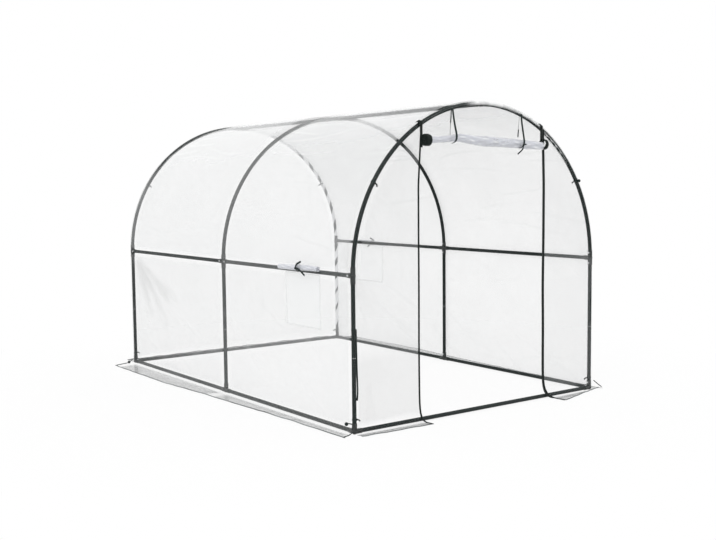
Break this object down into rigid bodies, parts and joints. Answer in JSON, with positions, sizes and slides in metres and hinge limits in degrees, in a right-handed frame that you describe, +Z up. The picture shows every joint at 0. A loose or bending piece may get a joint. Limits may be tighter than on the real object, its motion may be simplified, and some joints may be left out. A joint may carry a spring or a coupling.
{
  "type": "film tunnel greenhouse",
  "caption": "Walk-in tunnel greenhouse: arched steel tube hoops and rails under a clear film cover, with a zipped door rolled up at one end and roll-up mesh windows in the sides.",
  "frame": {"origin": "on the ground in the middle of the plan", "axes": "+Z up, +Y along the tunnel from the door end to the rear, +X to the right seen from the door end"},
  "size_m": [2.2932, 3.3132, 1.9066],
  "materials": {
    "frame_tube": "dark green powder coat, satin",
    "connector": "dark green moulded plastic",
    "clear_film": "clear film, glossy, lightly creased",
    "rolled_film": "many layers of clear film, milky",
    "zip_tape": "woven dark green tape",
    "strap": "woven dark green strap",
    "screen_mesh": "fine woven insect mesh"
  },
  "bodies": {
    "root": {"base_connectors": "connector", "cover_ties": "strap", "door_roll": "rolled_film", "door_roll_tapes": "zip_tape", "door_ties": "strap", "door_upper_film": "clear_film", "door_zips": "zip_tape", "front_base_rail": "frame_tube", "front_left_arch": "frame_tube", "front_left_leg": "frame_tube", "front_left_panel": "clear_film", "front_right_arch": "frame_tube", "front_right_leg": "frame_tube", "front_right_panel": "clear_film", "front_skirts": "clear_film", "left_base_rail": "frame_tube", "left_side_rail": "frame_tube", "left_wall_film": "clear_film", "middle_left_arch": "frame_tube", "middle_left_leg": "frame_tube", "middle_right_arch": "frame_tube", "middle_right_leg": "frame_tube", "rear_base_rail": "frame_tube", "rear_left_arch": "frame_tube", "rear_left_leg": "frame_tube", "rear_panel": "clear_film", "rear_right_arch": "frame_tube", "rear_right_leg": "frame_tube", "rear_skirt": "clear_film", "ridge_connectors": "connector", "ridge_rail": "frame_tube", "right_base_rail": "frame_tube", "right_side_rail": "frame_tube", "right_wall_film": "clear_film", "roof_film_1": "clear_film", "roof_film_2": "clear_film", "roof_film_3": "clear_film", "roof_film_4": "clear_film", "roof_film_5": "clear_film", "roof_film_6": "clear_film", "side_rail_connectors": "connector", "side_skirts": "clear_film", "window_rolls": "rolled_film", "window_screens": "screen_mesh", "window_ties": "strap"}
  },
  "joints": []
}
